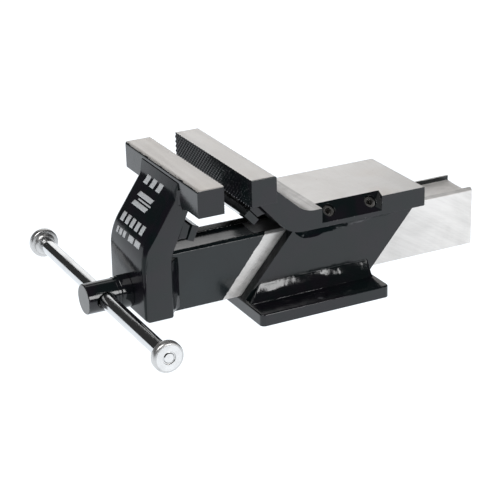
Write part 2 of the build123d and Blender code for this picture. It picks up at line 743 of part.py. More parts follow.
# ---- Build --------------------------------------------------------------------------
def build():
    nodes = {
        "base_plate": base_plate(),
        "side_plate_left": side_plate(-1),
        "side_plate_right": side_plate(1),
        "top_plate": top_plate(),
        "rear_jaw": jaw_block(REAR_JAW_FACE, REAR_JAW_BACK),
        "rear_pipe_jaw": pipe_strip(REAR_STRIP_ORIGIN, NECK_UP, NECK_OUT),
        "rear_pipe_weld": strip_weld(REAR_STRIP_ORIGIN, NECK_UP, NECK_OUT),
        "rear_jaw_weld": rear_jaw_weld(),
        "base_welds": base_welds(),
        "top_welds": top_welds(),
        "spindle_nut": spindle_nut(),
        "nut_screws": nut_screws(),
        "gib_pads": gib_pads(),
        "slide_channel": slide_channel(),
        "front_arm": front_arm(),
        "front_jaw": jaw_block(FRONT_JAW_REAR, FRONT_JAW_FRONT),
        "front_pipe_jaw": pipe_strip(FRONT_STRIP_ORIGIN, ARM_UP, ARM_OUT),
        "front_pipe_weld": strip_weld(FRONT_STRIP_ORIGIN, ARM_UP, ARM_OUT),
        "slide_welds": slide_welds(),
        "front_jaw_welds": front_jaw_welds(),
        "spindle_bush": spindle_bush(),
        "spindle_screw": spindle_screw(),
        "thrust_washer": thrust_washer(),
        "retaining_collar": retaining_collar(),
        "collar_pin": collar_pin(),
        "handle_bar": handle_bar(),
        "handle_cap_left": cap_left(),
        "handle_cap_right": cap_right(),
    }
    for place, y in zip(("front", "rear"), GIB_YS):
        nodes["gib_screw_" + place] = gib_screw(y)
    return nodes


os.makedirs("parts", exist_ok=True)
for name, shape in build().items():
    if isinstance(shape, list):
        shape = Compound(children=[Compound(item.solids()) for item in shape])
    export_step(shape, "parts/" + name + ".step")
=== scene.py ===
"""Looks for the all-steel bench vise: enamel, ground steel, chrome, welds, jaw teeth.

Metres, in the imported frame: +X is the near side, +Y runs from the handle to the rear.
"""
import math

import bmesh
import bpy
from mathutils import Matrix, Vector, noise
from mathutils.bvhtree import BVHTree


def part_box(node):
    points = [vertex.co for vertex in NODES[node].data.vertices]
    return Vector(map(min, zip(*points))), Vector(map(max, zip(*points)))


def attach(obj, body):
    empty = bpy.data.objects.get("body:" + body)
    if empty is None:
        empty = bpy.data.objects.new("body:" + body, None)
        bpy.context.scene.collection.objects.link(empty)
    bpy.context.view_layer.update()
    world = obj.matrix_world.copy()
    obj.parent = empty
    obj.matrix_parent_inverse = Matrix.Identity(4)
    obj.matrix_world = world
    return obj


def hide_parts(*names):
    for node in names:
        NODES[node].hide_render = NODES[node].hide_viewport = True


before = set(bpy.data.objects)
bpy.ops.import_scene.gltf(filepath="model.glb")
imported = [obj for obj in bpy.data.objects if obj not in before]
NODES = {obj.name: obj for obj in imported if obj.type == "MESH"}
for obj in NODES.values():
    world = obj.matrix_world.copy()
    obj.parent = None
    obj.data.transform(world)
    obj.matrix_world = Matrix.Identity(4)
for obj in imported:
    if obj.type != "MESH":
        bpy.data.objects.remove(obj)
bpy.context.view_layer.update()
MM = 0.001


# ---- Boxes the pieces are placed by --------------------------------------------------
TOP_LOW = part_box("top_plate")[0]
ARM_LOW, ARM_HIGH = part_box("front_arm")
HEAD_LOW, HEAD_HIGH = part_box("spindle_screw")
AXIS_Z = (HEAD_LOW.z + HEAD_HIGH.z) / 2


# ---- Node-material helper ------------------------------------------------------------
class Shader:
    """A Principled material with short calls for the nodes this scene uses."""

    def __init__(self, name, **sockets):
        self.material = bpy.data.materials.new(name)
        self.material.use_nodes = True
        self.tree = self.material.node_tree
        self.bsdf = self.tree.nodes["Principled BSDF"]
        for key, value in sockets.items():
            self.bsdf.inputs[key.replace("_", " ")].default_value = value
        self.place = self.node("ShaderNodeTexCoord").outputs["Object"]

    def node(self, kind, inputs=None, **settings):
        made = self.tree.nodes.new(kind)
        for key, value in settings.items():
            setattr(made, key, value)
        for key, value in (inputs or {}).items():
            self.feed(made.inputs[key], value)
        return made

    def feed(self, socket, value):
        """Links an output, or sets a plain value."""
        if isinstance(value, bpy.types.NodeSocket):
            self.tree.links.new(value, socket)
        else:
            socket.default_value = value

    def stretch(self, factors, turn=(0, 0, 0)):
        """The object's coordinates, in metres, scaled and turned (degrees)."""
        turned = tuple(math.radians(angle) for angle in turn)
        mapping = self.node("ShaderNodeMapping", {"Vector": self.place, "Rotation": turned})
        scaled = self.node(
            "ShaderNodeVectorMath", {0: mapping.outputs[0], 1: factors}, operation="MULTIPLY"
        )
        return scaled.outputs[0]

    def noise(self, scale, detail=3.0, roughness=0.5, where=None, distortion=0.0):
        made = self.node(
            "ShaderNodeTexNoise",
            {"Scale": scale, "Detail": detail, "Roughness": roughness, "Distortion": distortion},
        )
        self.feed(made.inputs["Vector"], where or self.place)
        return made.outputs["Fac"]

    def math(self, operation, first, second=0.0, clamp=False):
        made = self.node(
            "ShaderNodeMath", {0: first, 1: second}, operation=operation, use_clamp=clamp
        )
        return made.outputs[0]

    def span(self, value, low, high, to_low=0.0, to_high=1.0):
        made = self.node(
            "ShaderNodeMapRange",
            {"Value": value, "From Min": low, "From Max": high, "To Min": to_low, "To Max": to_high},
        )
        return made.outputs[0]

    def blend(self, factor, first, second):
        made = self.node("ShaderNodeMix", data_type="RGBA")
        self.feed(made.inputs[0], factor)
        self.feed(made.inputs[6], first)
        self.feed(made.inputs[7], second)
        return made.outputs[2]

    def blend_value(self, factor, first, second):
        made = self.node("ShaderNodeMix", data_type="FLOAT")
        self.feed(made.inputs[0], factor)
        self.feed(made.inputs[2], first)
        self.feed(made.inputs[3], second)
        return made.outputs[0]

    def bump(self, height, distance, strength=1.0, before=None):
        made = self.node(
            "ShaderNodeBump", {"Height": height, "Distance": distance, "Strength": strength}
        )
        if before is not None:
            self.feed(made.inputs["Normal"], before)
        return made.outputs[0]

    def axis(self, letter):
        parts = self.node("ShaderNodeSeparateXYZ", {0: self.place})
        return parts.outputs[letter]

    def facing(self, letter):
        """One part of the surface normal in the object's own axes."""
        normal = self.node("ShaderNodeTexCoord").outputs["Normal"]
        parts = self.node("ShaderNodeSeparateXYZ", {0: normal})
        return parts.outputs[letter]

    def edge(self, radius):
        """1 close to a sharp edge, 0 on an open face."""
        soft = self.node("ShaderNodeBevel", {"Radius": radius}, samples=4)
        true = self.node("ShaderNodeNewGeometry").outputs["Normal"]
        dot = self.node(
            "ShaderNodeVectorMath", {0: soft.outputs[0], 1: true}, operation="DOT_PRODUCT"
        )
        return self.span(dot.outputs["Value"], 0.995, 0.86)

    def out(self, **inputs):
        for key, value in inputs.items():
            self.feed(self.bsdf.inputs[key.replace("_", " ")], value)
        return self.material


def grey(value, warm=0.0):
    """A colour near grey; warm above 0 leans to brown, below 0 to blue."""
    return (value * (1 + warm), value, value * (1 - warm), 1.0)


# ---- Materials -----------------------------------------------------------------------
COOL_BLACK = (0.0045, 0.0078, 0.0085, 1.0)
WARM_BLACK = (0.0085, 0.0075, 0.0105, 1.0)


def enamel(name, roughness=0.09, ripple=1.0, chips=0.35, gloss_level=0.5):
    """Gloss black enamel: orange peel, faint colour drift, dull patches, chipped edges."""
    m = Shader(name, Specular_IOR_Level=gloss_level)
    patches = m.noise(38, 4, 0.6)
    drift = m.noise(70, 3, 0.55, distortion=0.5)
    fine = m.noise(900, 2)
    peel = m.noise(150, 2, 0.45)
    edge = m.math("MULTIPLY", m.edge(0.0005), m.span(m.noise(420, 5, 0.7), 0.58, 0.66))
    chip = m.math("MULTIPLY", edge, chips, clamp=True)
    body = m.blend(m.span(drift, 0.4, 0.6), COOL_BLACK, WARM_BLACK)
    colour = m.blend(chip, body, grey(0.3, 0.03))
    gloss = m.blend_value(m.span(patches, 0.45, 0.75), roughness, roughness + 0.1)
    relief = m.bump(peel, 0.00006 * ripple)
    relief = m.bump(fine, 0.00001 * ripple, before=relief)
    return m.out(
        Base_Color=colour,
        Roughness=m.blend_value(chip, gloss, 0.4),
        Metallic=chip,
        Normal=relief,
    )


def ground(
    name, along, light=0.8, dark=0.62, warm=0.03, roughness=0.36, cloud=22, contrast=1.0, rim=None
):
    """Ground steel: fine lines that run along one axis, soft clouds and faint oil marks.

    rim, if given, is the Y up to which enamel has run over the front edge.
    """
    m = Shader(name, Metallic=0.6)
    fine = {"X": (40, 2600, 2600), "Y": (2600, 40, 2600), "Z": (2600, 2600, 40)}[along]
    broad = {"X": (9, 420, 420), "Y": (420, 9, 420), "Z": (420, 420, 9)}[along]
    lines = m.noise(1, 3, 0.6, where=m.stretch(fine))
    bands = m.noise(1, 3, 0.6, where=m.stretch(broad))
    clouds = m.noise(cloud, 5, 0.65, distortion=0.6)
    specks = m.span(m.noise(700, 3, 0.6), 0.68, 0.76)
    tone = m.span(bands, 0.3, 0.7, -0.3 * contrast, 0.3 * contrast)
    tone = m.math("ADD", m.span(clouds, 0.3, 0.7), tone)
    tone = m.math("ADD", tone, m.span(lines, 0.3, 0.7, -0.16, 0.16), clamp=True)
    colour = m.blend(tone, grey(dark, warm), grey(light, warm * 0.6))
    tan = m.span(m.noise(26, 3, 0.5), 0.52, 0.75, 0.0, 0.5)
    colour = m.blend(tan, colour, grey(0.92 * dark, warm + 0.06))
    colour = m.blend(m.math("MULTIPLY", specks, 0.4), colour, grey(0.12, 0.1))
    gloss = m.span(bands, 0.25, 0.75, roughness - 0.07, roughness + 0.09)
    relief = m.bump(lines, 0.000012)
    relief = m.bump(bands, 0.00002, before=relief)
    if rim is not None:
        ragged = m.span(m.noise(1, 5, 0.7, where=m.stretch((70, 200, 200))), 0.3, 0.7, -0.0011, 0.0011)
        run = m.span(m.math("ADD", m.axis("Y"), ragged), rim + 0.0001, rim - 0.0001)
        colour = m.blend(run, colour, COOL_BLACK)
        gloss = m.blend_value(run, gloss, 0.12)
        return m.out(
            Base_Color=colour,
            Roughness=gloss,
            Normal=relief,
            Metallic=m.math("SUBTRACT", 0.6, m.math("MULTIPLY", run, 0.6)),
        )
    return m.out(Base_Color=colour, Roughness=gloss, Normal=relief)


def chrome(name):
    """Chrome plate: near mirror, with faint rub marks and pin-point dirt."""
    m = Shader(name, Metallic=1.0)
    rubs = m.noise(1, 3, 0.6, where=m.stretch((60, 900, 900)))
    haze = m.noise(45, 4, 0.6)
    spots = m.span(m.noise(1300, 2), 0.72, 0.78)
    colour = m.blend(m.span(haze, 0.35, 0.75), grey(0.66, -0.01), grey(0.58, -0.01))
    colour = m.blend(m.math("MULTIPLY", spots, 0.6), colour, grey(0.15, 0.05))
    gloss = m.span(haze, 0.3, 0.75, 0.07, 0.2)
    return m.out(Base_Color=colour, Roughness=gloss, Normal=m.bump(rubs, 0.000004))


def turned(name, light, dark, roughness, line, rings=2600):
    """A turned surface: fine rings about a line, given as a point and the axes across it."""
    m = Shader(name, Metallic=1.0)
    shifted = m.node(
        "ShaderNodeVectorMath", {0: m.place, 1: line[0]}, operation="SUBTRACT"
    ).outputs[0]
    flat = m.node(
        "ShaderNodeVectorMath", {0: shifted, 1: line[1]}, operation="MULTIPLY"
    ).outputs[0]
    radius = m.node("ShaderNodeVectorMath", {0: flat}, operation="LENGTH").outputs["Value"]
    steps = m.math("SINE", m.math("MULTIPLY", radius, rings * 6.28))
    clouds = m.noise(160, 4, 0.6)
    tone = m.math("ADD", m.span(steps, -1, 1, -0.12, 0.12), m.span(clouds, 0.3, 0.7), clamp=True)
    colour = m.blend(tone, grey(dark, 0.01), grey(light, 0.01))
    relief = m.bump(steps, 0.000005)
    gloss = m.span(clouds, 0.3, 0.7, roughness - 0.06, roughness + 0.1)
    return m.out(Base_Color=colour, Roughness=gloss, Normal=relief)


def oxide(name, base=0.05, roughness=0.36, rub_and_glint=0.4):
    """Black oxide steel, oiled, rubbed brighter at the edges; the bright edge colour is partly wear
    and partly a painted highlight ring.
    """
    m = Shader(name, Metallic=0.85)
    clouds = m.noise(260, 4, 0.6)
    edge = m.math("MULTIPLY", m.edge(0.0004), m.span(m.noise(700, 3), 0.4, 0.65))
    tint = m.blend(clouds, grey(base * 0.7), grey(base * 1.6, 0.04))
    # Edges made bright: partly rubbed wear, partly a painted highlight.
    colour = m.blend(m.math("MULTIPLY", edge, rub_and_glint), tint, grey(0.45, 0.03))
    return m.out(
        Base_Color=colour,
        Roughness=m.span(clouds, 0.3, 0.7, roughness - 0.08, roughness + 0.12),
        Normal=m.bump(m.noise(1500, 2), 0.00001),
    )


def plain_metal(name, colour, roughness, grain=1400, metallic=1.0):
    """Cast, plated or turned metal with a fine grain and a mottled tone."""
    m = Shader(name, Metallic=metallic)
    clouds = m.noise(240, 5, 0.65)
    deep = tuple(channel * 0.55 for channel in colour[:3]) + (1.0,)
    tint = m.blend(m.span(clouds, 0.3, 0.75), colour, deep)
    return m.out(
        Base_Color=tint,
        Roughness=m.span(clouds, 0.3, 0.7, roughness - 0.08, roughness + 0.12),
        Normal=m.bump(m.noise(grain, 3), 0.00002),
    )


def print_ink(name):
    """Pale screen print on the enamel, thin in places."""
    m = Shader(name, Roughness=0.4)
    thin = m.span(m.noise(1800, 4, 0.7), 0.35, 0.6)
    colour = m.blend(thin, grey(0.36, -0.02), grey(0.56, -0.02))
    return m.out(Base_Color=colour, Normal=m.bump(thin, 0.00001))


PAINT = enamel("enamel")
PAINT_WELD = enamel("enamel_weld", roughness=0.05, ripple=1.0, chips=0.0)
PAINT_CUT = enamel("enamel_cut_edge", roughness=0.12, ripple=12.0, chips=1.2, gloss_level=0.3)
PAINT_TOP = enamel("enamel_top", chips=1.0)
# The arm's front copy reflects less than the other enamel: painted shade, so the front reads darker.
PAINT_FRONT_SHADED = enamel("enamel_front_painted_shade", roughness=0.12, gloss_level=0.2)
PAINT_JAW = enamel("enamel_jaw", roughness=0.16, ripple=1.4, chips=0.5)
TOP_STEEL = ground("anvil_ground", "X", light=0.78, dark=0.68, contrast=0.4)
# The neck's copy is darker than the anvil's: painted shade for the slope ahead of the crease; its
# strong streaks are grinding bands.
NECK_STEEL_SHADED = ground("neck_ground_painted_shade", "X", light=0.66, dark=0.3, roughness=0.36, contrast=1.2)
JAW_STEEL = ground("jaw_ground", "X", light=0.68, dark=0.6, warm=0.04, contrast=0.3)
FRONT_JAW_STEEL = ground(
    "front_jaw_ground", "X", light=0.66, dark=0.56, warm=0.05, contrast=0.35, rim=-0.0831
)
CHROME = chrome("chrome_plate")
INK = print_ink("print_grey")
# Full edge brightness on the gib screws: partly wear, partly a painted highlight ring.
OXIDE = oxide("gib_oxide", base=0.26, roughness=0.2, rub_and_glint=1.0)
BRASS = plain_metal("pad_brass", (0.72, 0.5, 0.24, 1), 0.32)
IRON = plain_metal("nut_iron", (0.16, 0.155, 0.15, 1), 0.5, grain=700)
ZINC = plain_metal("zinc_plate", (0.56, 0.55, 0.52, 1), 0.34)
THREAD_STEEL = plain_metal("thread_oiled", (0.3, 0.28, 0.25, 1), 0.3)
SPINDLE_LINE = (Vector((0, 0, AXIS_Z)), Vector((1, 0, 1)))
BAR_LINE = (Vector((0, -0.1239, AXIS_Z)), Vector((0, 1, 1)))
HEAD_FACE = turned("head_faced", 0.22, 0.13, 0.34, SPINDLE_LINE)
CAP_FACE = turned("cap_faced", 0.8, 0.66, 0.26, BAR_LINE)
CAP_STEEL = turned("cap_turned", 0.66, 0.5, 0.36, BAR_LINE)


# ---- Mesh helpers --------------------------------------------------------------------
def put(name, body, bm_or_mesh, materials, replaced=(), smooth=True):
    """Makes an object of a bmesh or mesh, rides it on a body and gives it materials."""
    if isinstance(bm_or_mesh, bmesh.types.BMesh):
        mesh = bpy.data.meshes.new(name)
        bm_or_mesh.to_mesh(mesh)
        bm_or_mesh.free()
    else:
        mesh = bm_or_mesh
    obj = bpy.data.objects.new(name, mesh)
    bpy.context.scene.collection.objects.link(obj)
    for material in materials:
        mesh.materials.append(material)
    if smooth:
        mesh.shade_smooth()
    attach(obj, body)
    if replaced:
        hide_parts(*replaced)
    return obj


def node_bmesh(node):
    """A welded copy of a CAD node's mesh with its flat faces joined up."""
    bm = bmesh.new()
    bm.from_mesh(NODES[node].data)
    bmesh.ops.remove_doubles(bm, verts=bm.verts, dist=2e-6)
    bmesh.ops.dissolve_limit(
        bm,
        angle_limit=math.radians(0.6),
        verts=bm.verts,
        edges=bm.edges,
        delimit={"NORMAL"},
    )
    return bm


def soften(obj, width, segments=3, angle=28):
    """Rounds the sharp edges and keeps the flat faces flat in shading."""
    bevel = obj.modifiers.new("edges", "BEVEL")
    bevel.width = width
    bevel.segments = segments
    bevel.limit_method = "ANGLE"
    bevel.angle_limit = math.radians(angle)
    bevel.use_clamp_overlap = True
    bevel.miter_outer = "MITER_ARC"
    weighted = obj.modifiers.new("normals", "WEIGHTED_NORMAL")
    weighted.keep_sharp = True
    weighted.weight = 80
    return obj


def carry(node, body, materials, width=0.0004, rule=None, segments=3, angle=28):
    """A CAD node's own shape with rounded edges; rule picks each face's material."""
    bm = node_bmesh(node)
    if rule:
        for face in bm.faces:
            face.material_index = rule(face.calc_center_median(), face.normal)
    obj = put(node + "_piece", body, bm, materials, (node,))
    return soften(obj, width, segments, angle)


# ---- Fixed body ----------------------------------------------------------------------
# Where the ground top turns from the anvil's tone to the neck's darker tone, which is painted shade.
CREASE_Y = 5.5 * MM
TOP_STEP = 8 * MM


def top_piece():
    """The top plate: its anvil flat and the neck behind the rear jaw are ground bare; the neck takes a
    darker copy of the ground steel, painted shade for its slope.
    """
    bm = node_bmesh("top_plate")
    everything = bm.verts[:] + bm.edges[:] + bm.faces[:]
    bmesh.ops.bisect_plane(bm, geom=everything, plane_co=(0, CREASE_Y, 0), plane_no=(0, 1, 0))
    for face in bm.faces:
        centre, normal = face.calc_center_median(), face.normal
        if normal.z > 0.35 and abs(normal.x) < 0.3 and centre.z > TOP_LOW.z + TOP_STEP:
            # Faces ahead of the crease take the darker neck steel: painted shade.
            face.material_index = 1 if centre.y > CREASE_Y else 2
    obj = put(
        "top_plate_piece", "frame", bm, [PAINT_TOP, TOP_STEEL, NECK_STEEL_SHADED], ("top_plate",)
    )
    return soften(obj, 0.0007)


TOOTH_PITCH = 2.1 * MM
TOOTH_DEPTH = 0.62 * MM
TOOTH_SETBACK = 0.03 * MM


def jaw_mesh(node, face_sign):
    """A jaw block whose gripping face is cut into small pyramids; its top is ground."""
    low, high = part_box(node)
    face_y, back_y = (low.y, high.y) if face_sign < 0 else (high.y, low.y)
    spacing = TOOTH_PITCH / (2 * math.sqrt(2))
    columns = int(round((high.x - low.x) / spacing))
    rows = int(round((high.z - low.z) / spacing))
    bm = bmesh.new()

    def height(i, k):
        """0 in a groove, 1 on a tooth, from two triangle waves along the diagonals."""
        u = (i + k) / 2
        v = (i - k) / 2
        return min(1 - abs(u % 2 - 1), 1 - abs(v % 2 - 1))

    def point(i, k):
        x = low.x + (high.x - low.x) * i / columns
        z = low.z + (high.z - low.z) * k / rows
        worn = 1 - 0.25 * abs(noise.noise(Vector((x, z, face_y)) * 400))
        inward = TOOTH_DEPTH * (1 - height(i, k) * worn) + TOOTH_SETBACK
        return Vector((x, face_y - face_sign * inward, z))

    grid = [[bm.verts.new(point(i, k)) for k in range(rows + 1)] for i in range(columns + 1)]
    for i in range(columns):
        for k in range(rows):
            a, b = grid[i][k], grid[i + 1][k]
            c, d = grid[i + 1][k + 1], grid[i][k + 1]
            corners = ((a, b, c), (a, c, d)) if (i + k) % 2 == 0 else ((a, b, d), (b, c, d))
            for corner in corners:
                bm.faces.new(corner if face_sign < 0 else corner[::-1])
    back = {
        (i, k): bm.verts.new((low.x if i == 0 else high.x, back_y, low.z if k == 0 else high.z))
        for i in (0, columns)
        for k in (0, rows)
    }
    top = [grid[i][rows] for i in range(columns + 1)] + [back[columns, rows], back[0, rows]]
    bottom = [grid[i][0] for i in range(columns, -1, -1)] + [back[0, 0], back[columns, 0]]
    left = [grid[0][k] for k in range(rows + 1)] + [back[0, rows], back[0, 0]]
    right = [grid[columns][k] for k in range(rows, -1, -1)] + [back[columns, 0], back[columns, rows]]
    rear = [back[0, 0], back[0, rows], back[columns, rows], back[columns, 0]]
    for ring in (top, bottom, left, right, rear):
        face = bm.faces.new(ring)
        face.material_index = 1 if ring is top else 0
    bmesh.ops.recalc_face_normals(bm, faces=bm.faces)
    weight = bm.edges.layers.float.new("bevel_weight_edge")
    for edge in bm.edges:
        ends = edge.verts
        long_sides = {len(face.verts) > 3 for face in edge.link_faces}
        if long_sides != {True}:
            continue
        middle = (ends[0].co + ends[1].co) / 2
        at_back = abs(middle.y - back_y) < 1e-5
        at_top = abs(middle.z - high.z) < 1e-5
        along_x = abs(ends[0].co.x - ends[1].co.x) > 0.05
        edge[weight] = 1.0 if at_back and at_top and along_x else 0.32
    return bm


def jaw(node, body, face_sign):
    materials = [PAINT_JAW, FRONT_JAW_STEEL if face_sign > 0 else JAW_STEEL]
    obj = put(
        node + "_piece", body, jaw_mesh(node, face_sign), materials, (node,), smooth=False
    )
    bevel = obj.modifiers.new("edges", "BEVEL")
    bevel.width = 2.0 * MM
    bevel.segments = 5
    bevel.limit_method = "WEIGHT"
    return obj


RIPPLE_PITCH = 3.2 * MM


def weld(node, body, amount=0.4, ripple=0.05, seed=1.0, voxel=0.42, stretch=1.0, shape=None):
    """A weld: the CAD bead remeshed, rounded off, and given lumps and freezing ripples.

    The ripples run round the bead, across its longest side. stretch below 1 draws the lumps
    out along it. shape, if given, moves each point first.
    """
    low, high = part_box(node)
    size = high - low
    letter = max(range(3), key=lambda index: size[index])
    obj = put(node + "_piece", body, node_bmesh(node), [PAINT_WELD], (node,))
    remesh = obj.modifiers.new("voxels", "REMESH")
    remesh.mode = "VOXEL"
    remesh.voxel_size = voxel * MM
    melt = obj.modifiers.new("melt", "SMOOTH")
    melt.iterations = 5
    graph = bpy.context.evaluated_depsgraph_get()
    mesh = bpy.data.meshes.new_from_object(obj.evaluated_get(graph))
    obj.modifiers.clear()
    obj.data = mesh
    normals = [vertex.normal.copy() for vertex in mesh.vertices]
    reach = Vector((1, 1, 1))
    reach[letter] = stretch
    for vertex, normal in zip(mesh.vertices, normals):
        place = shape(vertex.co.copy()) if shape else vertex.co.copy()
        lump = noise.noise(place * reach * 150 + Vector((seed, 0, 0)))
        small = noise.noise(place * reach * 400 + Vector((0, seed, 0)))
        wander = 1.2 * noise.noise(place * 90 + Vector((0, 0, seed)))
        wave = math.cos(2 * math.pi * (place[letter] / RIPPLE_PITCH + wander))
        move = amount * lump + 0.12 * amount * small + ripple * wave * (0.5 + lump)
        vertex.co = place + normal * (move * MM)
    mesh.materials.clear()
    mesh.materials.append(PAINT_WELD)
    mesh.shade_smooth()
    return obj


def top_weld_taper(place):
    """The bead under the top plate: full near the front, wavy, and thin to the rear."""
    low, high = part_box("top_welds")
    share = (place.y - low.y) / (high.y - low.y)
    start = min(1.0, max(0.0, share / 0.08))
    full = (0.55 + 0.45 * math.sin(start * math.pi / 2)) * (1 - 0.5 * share)
    full *= 1 + 0.28 * noise.noise(Vector((place.x * 5, place.y * 75, 3.0)))
    place.z = high.z - (high.z - place.z) * full
    place.y -= 2 * MM * (1 - share) ** 4
    return place


def cut_rule(centre, normal):
    """A side plate's slanted ends are flame cut, so they are rougher under the enamel."""
    return 1 if abs(normal.y) > 0.5 else 0


def fixed_pieces():
    carry("base_plate", "frame", [PAINT], 0.0005)
    for side in ("left", "right"):
        node = "side_plate_" + side
        carry(node, "frame", [PAINT, PAINT_CUT], 0.0006, cut_rule)
    top_piece()
    jaw("rear_jaw", "frame", -1)
    carry("rear_pipe_jaw", "frame", [PAINT], 0.0002)
    weld("rear_pipe_weld", "frame", amount=0.7, seed=2.0)
    weld("rear_jaw_weld", "frame", amount=0.5, seed=3.0)
    weld("base_welds", "frame", amount=0.32, ripple=0.008, seed=4.0, stretch=0.45)
    weld("top_welds", "frame", amount=0.5, seed=5.0, shape=top_weld_taper)


def hidden_pieces():
    """CAD nodes that keep their own mesh and only need a material."""
    for node, material in (
        ("gib_pads", BRASS),
        ("spindle_nut", IRON),
        ("nut_screws", ZINC),
        ("thrust_washer", PAINT),
        ("retaining_collar", OXIDE),
        ("collar_pin", ZINC),
        *((name, OXIDE) for name in NODES if name.startswith("gib_screw")),
    ):
        mesh = NODES[node].data
        mesh.materials.clear()
        mesh.materials.append(material)


# ---- Carriage ------------------------------------------------------------------------
def slide_material():
    """Painted in front, ground bare behind a slanted edge; one material for the slide."""
    m = Shader("slide_painted_and_ground")
    y, z = m.axis("Y"), m.axis("Z")
    jagged = m.span(m.noise(240, 4, 0.7), 0.3, 0.7, -0.0005, 0.0005)
    line = m.math("SUBTRACT", y, m.math("MULTIPLY", z, 0.8))
    line = m.math("ADD", line, jagged)
    bare = m.span(line, -0.0605, -0.0602)
    upright = m.span(m.math("ABSOLUTE", m.facing("X")), 0.8, 0.9)
    inside = m.math("MULTIPLY", m.span(z, 0.0418, 0.042), upright)
    inside = m.math("MULTIPLY", inside, m.span(m.math("ABSOLUTE", m.axis("X")), 0.0128, 0.0126))
    bare = m.math("MULTIPLY", bare, m.math("SUBTRACT", 1.0, inside))
    fine = m.noise(1, 3, 0.6, where=m.stretch((2400, 30, 2400), (14, 0, 0)))
    broad = m.noise(1, 3, 0.6, where=m.stretch((300, 14, 300), (32, 0, 0)))
    clouds = m.noise(34, 4, 0.6, distortion=0.8)
    tone = m.math("ADD", m.span(clouds, 0.3, 0.7, 0.1, 0.9), m.span(broad, 0.3, 0.7, -0.35, 0.35))
    tone = m.math("ADD", tone, m.span(fine, 0.3, 0.7, -0.12, 0.12), clamp=True)
    steel = m.blend(tone, grey(0.66, 0.035), grey(0.84, 0.03))
    patches = m.noise(40, 4, 0.6)
    deep, pale = (0.004, 0.0072, 0.0082, 1), (0.008, 0.014, 0.016, 1)
    paint = m.blend(m.span(patches, 0.4, 0.7), deep, pale)
    edge = m.math("MULTIPLY", m.edge(0.0007), m.span(m.noise(500, 5, 0.7), 0.5, 0.6))
    chip = m.math("MULTIPLY", edge, 0.9, clamp=True)
    worn = m.math("MAXIMUM", bare, chip)
    colour = m.blend(worn, paint, steel)
    paint_gloss = m.span(patches, 0.45, 0.75, 0.13, 0.24)
    gloss = m.blend_value(worn, paint_gloss, m.span(broad, 0.3, 0.7, 0.3, 0.44))
    relief = m.bump(m.noise(210, 2, 0.45), 0.00006)
    relief = m.bump(fine, 0.00001, before=relief)
    metal = m.math("MULTIPLY", worn, 0.5)
    return m.out(Base_Color=colour, Roughness=gloss, Metallic=metal, Normal=relief)


ARM_FRONT_EDGE = ((9, 1.6), (45, 3.2), (62, 4.6), (80, 5.2), (88, 0.2))
ARM_REAR_EDGE = ((75, 0.8), (76, 0.2))
BUSH_BORE = 9.0 * MM


def arm_outline():
    """The arm's outline seen from the side, as (y, z) points in order, from its CAD mesh."""
    bm = node_bmesh("front_arm")
    joined = {}
    for edge in bm.edges:
        flat = [face for face in edge.link_faces if face.normal.x > 0.9]
        if len(flat) == 1 and min(vert.co.x for vert in edge.verts) > ARM_HIGH.x - 0.1 * MM:
            first, second = edge.verts
            joined.setdefault(first, []).append(second)
            joined.setdefault(second, []).append(first)
    start = min(joined, key=lambda vert: (round(vert.co.z, 4), vert.co.y))
    outline, last, here = [start], None, start
    while True:
        ahead = [vert for vert in joined[here] if vert is not last]
        last, here = here, ahead[0]
        if here is start:
            break
        outline.append(here)
    points = [Vector((vert.co.y, vert.co.z)) for vert in outline]
    bm.free()
    turning = sum(a.x * b.y - b.x * a.y for a, b in zip(points, points[1:] + points[:1]))
    return points if turning > 0 else points[::-1]


def arm_edge_radius(height, in_front):
    """How far the arm's long edges are rounded at a height: most in front, near the jaw."""
    steps = ARM_FRONT_EDGE if in_front else ARM_REAR_EDGE
    height /= MM
    for (low, start), (high, end) in zip(steps, steps[1:]):
        if height <= high:
            return (start + (end - start) * max(0.0, (height - low) / (high - low))) * MM
    return steps[-1][1] * MM


